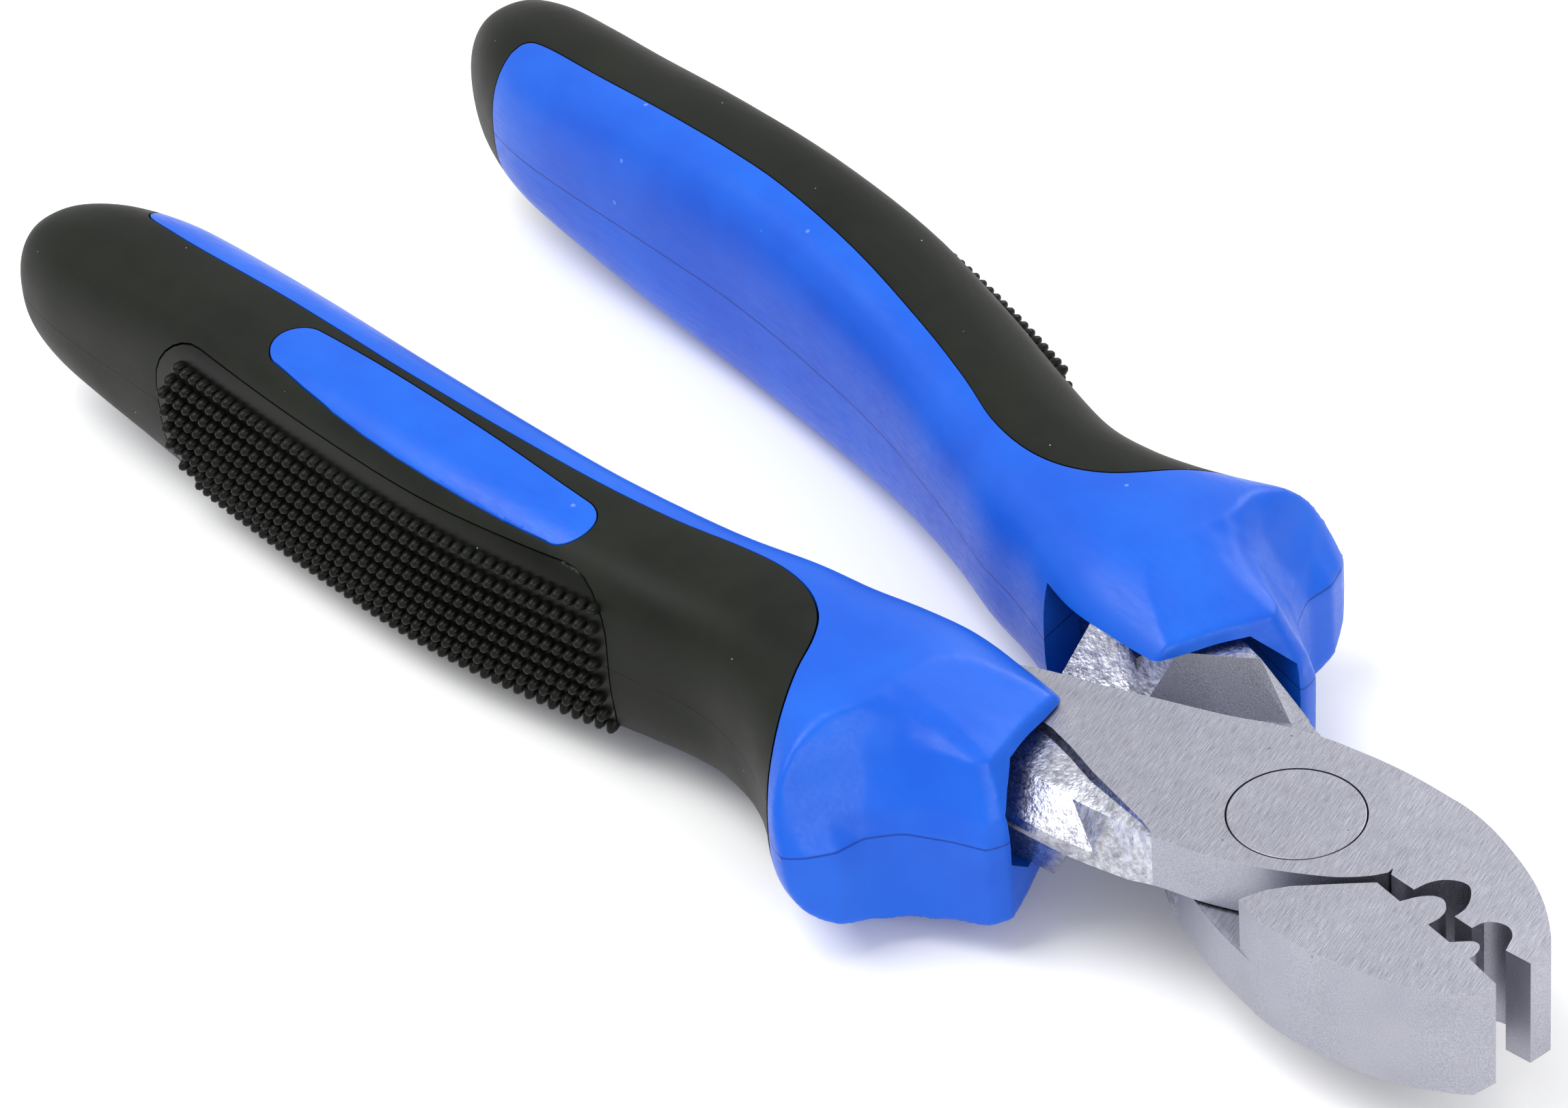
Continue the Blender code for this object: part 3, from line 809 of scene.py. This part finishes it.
    # line between the core and the cover, from the butt to the guard
    colour_line: Plan = (
        (-114.0, 17.0), (-113.4, 18.2), (-111.0, 18.6), (-102.0, 18.5), (-95.0, 18.4), (-87.5, 18.3),
        (-80.0, 18.0), (-70.0, 16.9), (-60.0, 15.1), (-53.0, 13.4), (-48.0, 11.8), (-44.0, 11.1),
        (-41.0, 11.2), (-38.5, 11.9), (-36.2, 13.3), (-34.4, 15.4), (-33.0, 18.0), (-31.0, 21.2),
        (-29.3, 23.6), (-27.4, 26.0), (-26.2, 28.5),
    )
    window_x: tuple[float, float] = (-90.5, -55.8)
    window_v: tuple[float, float] = (18.2, 22.7)
    window_tilt_deg: float = 4.6
    window_bow: float = 1.3  # the outer edge of the window bows this far with the handle
    window_floor: float = 5.0
    pad_x: tuple[float, float] = (-101.2, -50.8)
    pad_half: float = 6.95
    pad_low: float = 1.4  # the pad reaches this much further on the underside
    pad_corner: float = 5.0
    pad_stations: tuple[float, ...] = (-88.0, -80.0, -72.0, -64.0, -56.0)
    pad_depth: float = 2.6
    pad_reach: float = 6.0  # its space goes on this far past the outside
    seam: float = 0.06  # half of the gap between two moulded pieces
    voxel: float = 0.32
    rounds: int = 3
    stud_pitch: float = 1.06
    row_pitch: float = 1.62
    stud_radius: float = 0.52
    stud_height: float = 0.95
    stud_x: tuple[float, float] = (-99.9, -52.0)
    stud_top: float = 5.1
    stud_corner: float = 2.4  # the rows get shorter this close to the butt
    stud_fall: float = 0.55
    stud_core: float = 6.0  # depth of the line that the rows are counted round
    sweep_deg: float = 0.25
    pocket_gap: float = 0.3

    def ring(self, shape: bmesh.types.BMesh, row: Sequence[float]) -> list[bmesh.types.BMEdge]:
        """One rounded section of the sleeve, drawn from a circle."""
        x, inner, outer, half_height, square = row
        middle, half = (inner + outer) / 2, (outer - inner) / 2
        circle = bmesh.ops.create_circle(shape, cap_ends=False, segments=self.section_points, radius=1.0)
        verts = circle["verts"]
        for vert in verts:
            c, s = vert.co.x, vert.co.y
            vert.co = (x, -middle - half * math.copysign(abs(c) ** (2 / square), c),
                       half_height * math.copysign(abs(s) ** (2 / square), s))
        return list({edge for vert in verts for edge in vert.link_edges})

    def collar_tool(self) -> bpy.types.Object:
        """Everything in front of the collar."""
        rings, reach = [], [(-26.0, 40.0), (5.0, 40.0), (5.0, -2.0)]
        for z, plan in self.collar:
            rings.append([Vector((x, -v, z)) for x, v in list(plan) + reach])
        return loft("collar_front", rings)

    def body(self) -> bpy.types.Object:
        """The whole outside of the sleeve."""
        shape = bmesh.new()
        smooth_rows = through(self.sections, 5)
        loops = [self.ring(shape, row) for row in smooth_rows]
        for near, far in zip(loops, loops[1:]):
            bmesh.ops.bridge_loops(shape, edges=near + far)
        bmesh.ops.holes_fill(shape, edges=loops[0] + loops[-1])
        bmesh.ops.recalc_face_normals(shape, faces=shape.faces)
        bmesh.ops.triangulate(shape, faces=shape.faces)
        whole = combine(new_object("sleeve", shape), self.collar_tool(), Boolean.CUT, "EXACT")
        reskin(whole, self.voxel, self.rounds)
        low, high = self.mouth_levels
        plans = ((-high, self.mouth_flat), (-low, self.mouth_wide), (low, self.mouth_wide),
                 (high, self.mouth_flat))
        mouth = loft("mouth", [[Vector((x, -v, z)) for x, v in plan] for z, plan in plans])
        return combine(whole, mouth, Boolean.CUT)

    def core_region(self, margin: float) -> bpy.types.Object:
        """The space of the core, moved towards the cover by a margin."""
        line = through(self.colour_line, 4)
        start = line[0][0]
        plan = [(start - margin, -4.0)] + [(x - margin, v + margin) for x, v in line]
        plan += [(0.0, 30.0), (0.0, -4.0)]
        return slab("core_region", [(x, -v) for x, v in plan], -BEYOND, BEYOND)

    def window(self, margin: float) -> bpy.types.Object:
        """The space of the oval window, grown by a margin."""
        (x0, x1), (v0, v1) = self.window_x, self.window_v
        half, middle = (v1 - v0) / 2, (v0 + v1) / 2
        turn = Matrix.Rotation(math.radians(self.window_tilt_deg), 2)
        pivot = Vector(((x0 + x1) / 2, -middle))
        plan = []
        for centre, start in ((x1 - half, -90), (x0 + half, 90)):
            for k in range(25):
                a = math.radians(start + 180 * k / 24)
                p = Vector((centre + (half + margin) * math.cos(a), -middle + (half + margin) * math.sin(a)))
                plan.append(tuple(pivot + turn @ (p - pivot)))
            if centre > pivot.x:
                continue
            for k in range(1, 8):
                reach = 2 * k / 8 - 1
                p = Vector((pivot.x + reach * ((x1 - x0) / 2 - half), -middle - half - margin
                            - self.window_bow * (1 - reach**2)))
                plan.append(tuple(pivot + turn @ (p - pivot)))
        floor, sky = self.window_floor - margin, BEYOND
        return slab("window", plan, floor, sky) if self.window_up else slab("window", plan, -sky, -floor)

    def pad_region(self, margin: float) -> bpy.types.Object:
        """The space that the grip pad is let into, grown by a margin."""
        (x0, x1), rings, steps, corner = self.pad_x, [], 7, self.pad_corner
        angles = [math.radians(90 * k / steps) for k in range(steps + 1)]
        near = sorted((x0 - margin + corner * (1 - math.sin(a)),
                       self.pad_half + margin - corner * (1 - math.cos(a))) for a in angles)
        middle = [(x, self.pad_half + margin) for x in self.pad_stations]
        far = [(x0 + x1 - x, half) for x, half in reversed(near)]
        for x, half in near + middle + far:
            outer = at(self.sections, x)[1]
            low, bottom, top = -half - self.pad_low, outer - self.pad_depth - margin, outer + self.pad_reach
            rings.append([Vector((x, -v, z)) for v, z in ((bottom, low), (top, low), (top, half),
                                                          (bottom, half))])
        return loft("pad_region", rings)

    def pocket(self) -> bpy.types.Object:
        """The space for the tang."""
        gap = self.pocket_gap
        return loft("pocket", tang_rings(Lever.tang, Lever.tang_half, gap, gap))

    def studs(self, whole: bpy.types.Object) -> bpy.types.Object:
        """Rows of small blunt cones that stand on the pad.

        Args:
            whole: The whole outside of the sleeve, which they stand on.

        Returns:
            One object that holds all of them.
        """
        tree = BVHTree.FromObject(whole, bpy.context.evaluated_depsgraph_get())
        shape = bmesh.new()
        x0, x1 = self.stud_x
        columns = int((x1 - x0) / self.stud_pitch)
        for column in range(columns + 1):
            x = x0 + (x1 - x0) * column / columns
            start = Vector((x, self.stud_core - at(self.sections, x)[1], 0.0))
            top = self.stud_top - max(0.0, self.stud_corner - (x - x0)) ** 2 * self.stud_fall
            for sign in (1, -1):
                last, travelled, wanted = None, 0.0, 0.0 if sign == 1 else self.row_pitch
                for k in range(int(100 / self.sweep_deg)):
                    a = math.radians(k * self.sweep_deg)
                    where, normal, _, _ = tree.ray_cast(start, Vector((0, -math.cos(a), sign * math.sin(a))))
                    if where is None:
                        break
                    travelled += (where - last).length if last is not None else 0.0
                    last = where
                    if where.z > top or where.z < -top - self.pad_low:
                        break
                    if travelled >= wanted:
                        wanted += self.row_pitch
                        spin = normal.to_track_quat("Z", "Y").to_matrix().to_4x4()
                        size = Matrix.Diagonal((self.stud_radius, self.stud_radius, self.stud_height, 1))
                        bmesh.ops.create_uvsphere(shape, u_segments=8, v_segments=6, radius=1.0,
                                                  matrix=Matrix.Translation(where) @ spin @ size)
        return new_object("studs", shape)

    def build(self, whole: bpy.types.Object, studs: bpy.types.Object) -> dict[str, bpy.types.Object]:
        """Divide the sleeve into its moulded pieces.

        Args:
            whole: The whole outside of the sleeve, which is used up.
            studs: The studs of the pad, which are used up.

        Returns:
            The core, the cover and the pad by name.
        """
        core = combine(copied(whole, "core"), self.core_region(-self.seam), Boolean.KEEP)
        core = combine(core, self.pocket(), Boolean.CUT)
        pane = combine(copied(whole, "pane"), self.window(-self.seam), Boolean.KEEP)
        pane = combine(pane, self.pad_region(self.seam), Boolean.CUT)
        pad = combine(copied(whole, "pad"), self.pad_region(-self.seam), Boolean.KEEP)
        cover = combine(whole, self.core_region(self.seam), Boolean.CUT)
        cover = combine(cover, self.window(self.seam), Boolean.CUT)
        cover = combine(cover, self.pad_region(self.seam), Boolean.CUT)
        cover = combine(cover, self.pocket(), Boolean.CUT)
        return {"core": joined("core", [core, pane]), "cover": cover, "pad": joined("pad", [pad, studs])}


# ---------------------------------------------------------------- the whole tool


@dataclass
class Pliers:
    """The whole tool: two levers, a rivet and two sleeves."""

    rear_sleeve_shift: float = 1.38
    ground: GroundSteel = field(default_factory=GroundSteel)
    forged: ForgedSteel = field(default_factory=ForgedSteel)
    plastic: MouldedPlastic = field(default_factory=MouldedPlastic)
    cover: SoftRubber = field(default_factory=lambda: SoftRubber(
        "black_rubber", (0.0045, 0.0055, 0.0038), (0.009, 0.0108, 0.0075), 0.50, 1.0))
    pad: SoftRubber = field(default_factory=lambda: SoftRubber(
        "pad_rubber", (0.003, 0.0036, 0.0027), (0.006, 0.007, 0.0052), 0.34, 0.8))

    def hand_over(self, item: bpy.types.Object, name: str, side: Side, node: str) -> None:
        """Name a finished piece and tie it to its body.

        Args:
            item: The piece, in place.
            name: Its name.
            side: The lever that it moves with.
            node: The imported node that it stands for.
        """
        item.name = name
        item.data.name = name
        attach(item, side.value)
        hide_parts(node)
        LOG.info("%s: %d faces", name, len(item.data.polygons))

    def build_steel(self) -> None:
        """Make the levers and the rivet."""
        ground, forged = self.ground.build(), self.forged.build()
        for side, word, placing in ((Side.FRONT, "front", Placing.AS_DRAWN),
                                    (Side.REAR, "rear", Placing.TURNED_OVER)):
            lever = Lever(side)
            item = lever.body()
            lever.dress(item, ground, forged)
            settle(item, placing)
            self.hand_over(item, word + "_lever_forging", side, word + "_handle_lever")
        rivet = Rivet().body()
        rivet.data.materials.append(ground)
        smooth(rivet, STEEL_SHARP)
        settle(rivet)
        self.hand_over(rivet, "flush_rivet", Side.REAR, "pivot_rivet")

    def build_sleeves(self) -> None:
        """Make the moulded pieces of both handles."""
        finishes = {"core": (self.plastic.build(), "_sleeve_core", "blue_plastic"),
                    "cover": (self.cover.build(), "_soft_cover", "black_rubber"),
                    "pad": (self.pad.build(), "_grip_pad", "pad_rubber")}
        whole = Sleeve().body()
        studs = Sleeve().studs(whole)
        for side, word, placing, shift in ((Side.FRONT, "front", Placing.AS_DRAWN, 0.0),
                                           (Side.REAR, "rear", Placing.MIRRORED, self.rear_sleeve_shift)):
            sleeve = Sleeve(window_up=side is Side.FRONT)
            for key, item in sleeve.build(copied(whole, "whole"), copied(studs, "studs")).items():
                material, node, slot = finishes[key]
                item.data.materials.clear()
                item.data.materials.append(material)
                smooth(item, MOULDED_SHARP)
                settle(item, placing, shift)
                self.hand_over(item, f"{word}_moulded_{key}", side, word + node)
        bpy.data.objects.remove(whole)
        bpy.data.objects.remove(studs)


# ---------------------------------------------------------------- studio


@dataclass
class Studio:
    """Floor, light and camera."""

    azimuth_deg: float = 53.66
    elevation_deg: float = 37.45
    roll_deg: float = -4.40
    distance: float = 530.35
    target: tuple[float, float, float] = (-52.58, -3.83, 0.0)
    clip_m: tuple[float, float] = (0.01, 20.0)
    lens: float = 163.27
    sensor: float = 36.0
    floor_drop: float = 5.9
    floor_m: float = 6.0
    floor_grey: float = 0.93
    sky_strength: float = 0.75
    lamp_aim: tuple[float, float, float] = (-0.05, 0.0, 0.0)
    # name, place in metres, width in metres, watts
    lamps: tuple[tuple[str, tuple[float, float, float], float, float], ...] = (
        ("key", (-0.25, -0.35, 0.75), 0.55, 5.5),
        ("fill", (0.65, -0.15, 0.35), 0.45, 2.2),
        ("back", (-0.2, 0.7, 0.5), 0.5, 3.0),
    )

    def axes(self) -> Matrix:
        """The camera's own right, up and backward directions, as columns."""
        a, e, r = (math.radians(d) for d in (self.azimuth_deg, self.elevation_deg, self.roll_deg))
        back = Vector((math.sin(a) * math.cos(e), -math.cos(a) * math.cos(e), math.sin(e)))
        right = (-back).cross(Vector((0, 0, 1))).normalized()
        up = right.cross(-back)
        columns = (right * math.cos(r) + up * math.sin(r), up * math.cos(r) - right * math.sin(r), back)
        return Matrix(columns).transposed()

    def build_camera(self) -> None:
        """Set the camera where the tool is seen from."""
        data = bpy.data.cameras.new("view")
        data.lens, data.sensor_width, data.sensor_fit = self.lens, self.sensor, "HORIZONTAL"
        data.clip_start, data.clip_end = self.clip_m
        camera = bpy.data.objects.new("view", data)
        bpy.context.scene.collection.objects.link(camera)
        axes = self.axes()
        eye = Vector(self.target) + axes.col[2] * self.distance + Vector((0, 0, HEAD_HALF))
        camera.matrix_world = Matrix.Translation(eye * MM) @ axes.to_4x4()
        bpy.context.scene.camera = camera

    def add_lamp(self, name: str, place: Sequence[float], size: float, power: float) -> None:
        """One square soft light that looks at the tool."""
        data = bpy.data.lights.new(name, "AREA")
        data.shape, data.size, data.energy = "SQUARE", size, power
        lamp = bpy.data.objects.new(name, data)
        bpy.context.scene.collection.objects.link(lamp)
        lamp.location = place
        lamp.rotation_euler = (Vector(self.lamp_aim) - Vector(place)).to_track_quat("-Z", "Y").to_euler()

    def build(self) -> None:
        """Make the floor, the sky, the lights and the camera."""
        shape = bmesh.new()
        bmesh.ops.create_grid(shape, x_segments=1, y_segments=1, size=self.floor_m)
        floor = new_object("floor", shape)
        floor.data.transform(Matrix.Translation((0, 0, -self.floor_drop * MM)))
        graph = Graph("pale_floor")
        graph.shader.inputs["Base Color"].default_value = (*[self.floor_grey] * 3, 1.0)
        graph.shader.inputs["Roughness"].default_value = 0.9
        graph.shader.inputs["Specular IOR Level"].default_value = 0.1
        floor.data.materials.append(graph.material)
        world = bpy.data.worlds.new("studio")
        world.use_nodes = True
        sky = world.node_tree.nodes["Background"]
        sky.inputs["Color"].default_value = (1.0, 1.0, 1.0, 1.0)
        sky.inputs["Strength"].default_value = self.sky_strength
        bpy.context.scene.world = world
        for name, place, size, power in self.lamps:
            self.add_lamp(name, place, size, power)
        bpy.context.scene.view_settings.view_transform = "Standard"
        self.build_camera()


def main() -> None:
    """Build the tool and its studio."""
    logging.basicConfig(level=logging.INFO, format="%(name)s %(message)s")
    pliers = Pliers()
    pliers.build_steel()
    pliers.build_sleeves()
    Studio().build()


if __name__ == "__main__":
    main()
